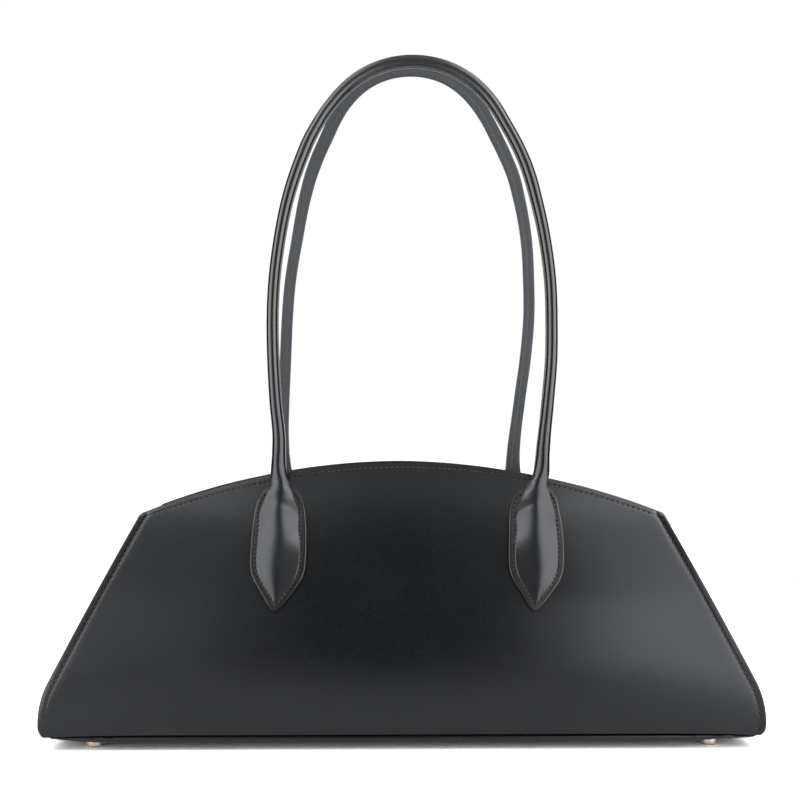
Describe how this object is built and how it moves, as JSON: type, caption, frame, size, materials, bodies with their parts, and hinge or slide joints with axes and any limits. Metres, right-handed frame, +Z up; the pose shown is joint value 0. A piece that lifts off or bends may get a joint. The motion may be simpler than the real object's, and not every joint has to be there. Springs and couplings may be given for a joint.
{
  "type": "shoulder bag",
  "caption": "Long low leather shoulder bag with a wide base, arched open top, tall rolled handles on leaf tabs, magnetic snap and metal feet.",
  "frame": {"origin": "on the floor under the middle of the bag, where its feet stand", "axes": "+X along the bag to the right as seen from the front, +Y from the front to the rear, +Z up"},
  "size_m": [0.42, 0.1234, 0.4189],
  "materials": {
    "body_leather": "smooth semi-gloss black",
    "base_leather": "smooth semi-gloss black",
    "facing_leather": "smooth satin black",
    "tab_leather": "polished black",
    "handle_leather": "polished black",
    "handle_cord": "twisted cotton",
    "stiffener_board": "matte board",
    "lining_cloth": "woven dark cloth",
    "backing_cloth": "woven tape",
    "gold_metal": "polished pale gold",
    "steel": "plain"
  },
  "bodies": {
    "bag": {"front_panel": "body_leather", "rear_panel": "body_leather", "left_gusset": "body_leather", "right_gusset": "body_leather", "base_panel": "base_leather", "front_facing": "facing_leather", "rear_facing": "facing_leather", "front_left_tab": "tab_leather", "front_right_tab": "tab_leather", "rear_left_tab": "tab_leather", "rear_right_tab": "tab_leather", "front_stiffener": "stiffener_board", "rear_stiffener": "stiffener_board", "base_board": "stiffener_board", "front_lining": "lining_cloth", "rear_lining": "lining_cloth", "left_gusset_lining": "lining_cloth", "right_gusset_lining": "lining_cloth", "base_lining": "lining_cloth", "tab_backings": "backing_cloth", "feet": "gold_metal", "snap_socket": "gold_metal", "snap_stud": "gold_metal", "foot_washers": "steel"},
    "front_handle": {"front_handle_cover": "handle_leather", "front_handle_core": "handle_cord"},
    "rear_handle": {"rear_handle_cover": "handle_leather", "rear_handle_core": "handle_cord"}
  },
  "joints": [
    {"name": "front_handle_swing", "type": "hinge", "parent": "bag", "child": "front_handle", "pos_m": [0, -0.03218, 0.152], "axis": [1, 0, 0], "range_deg": [-2, 120]},
    {"name": "rear_handle_swing", "type": "hinge", "parent": "bag", "child": "rear_handle", "pos_m": [0, 0.03218, 0.152], "axis": [-1, 0, 0], "range_deg": [-2, 120]}
  ]
}
